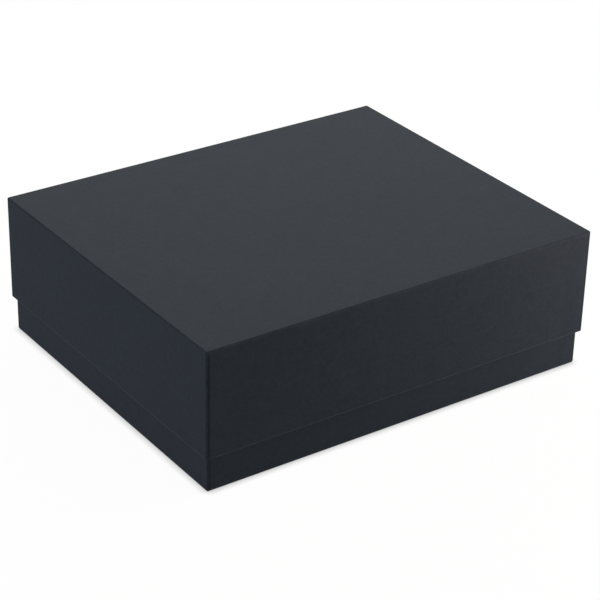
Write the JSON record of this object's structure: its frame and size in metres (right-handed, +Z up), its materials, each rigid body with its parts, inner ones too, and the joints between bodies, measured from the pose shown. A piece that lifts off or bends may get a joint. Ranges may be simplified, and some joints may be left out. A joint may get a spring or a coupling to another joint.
{
  "type": "gift box",
  "caption": "Rectangular rigid gift box: a paper-wrapped board tray under a deep lift-off lid that telescopes over it, for holding and presenting a gift.",
  "frame": {"origin": "centre of the tray's underside, on the surface that the box stands on", "axes": "+X along the length, +Y from the front long side to the back one, +Z up out of the tray"},
  "size_m": [0.3, 0.25, 0.1],
  "materials": {
    "wrapping_paper": "matte, fine tooth",
    "lining_paper": "matte",
    "greyboard": "raw recycled board",
    "stay_paper": "gummed kraft strip"
  },
  "bodies": {
    "tray": {"base_board": "greyboard", "base_wrap": "wrapping_paper", "base_liner": "lining_paper", "base_corner_stay_front_left": "stay_paper", "base_corner_stay_front_right": "stay_paper", "base_corner_stay_back_left": "stay_paper", "base_corner_stay_back_right": "stay_paper"},
    "lid": {"lid_board": "greyboard", "lid_wrap": "wrapping_paper", "lid_liner": "lining_paper", "lid_corner_stay_front_left": "stay_paper", "lid_corner_stay_front_right": "stay_paper", "lid_corner_stay_back_left": "stay_paper", "lid_corner_stay_back_right": "stay_paper"}
  },
  "joints": [
    {"name": "lid_lift", "type": "slide", "parent": "tray", "child": "lid", "axis": [0, 0, 1], "range_m": [0, 0.2]}
  ]
}
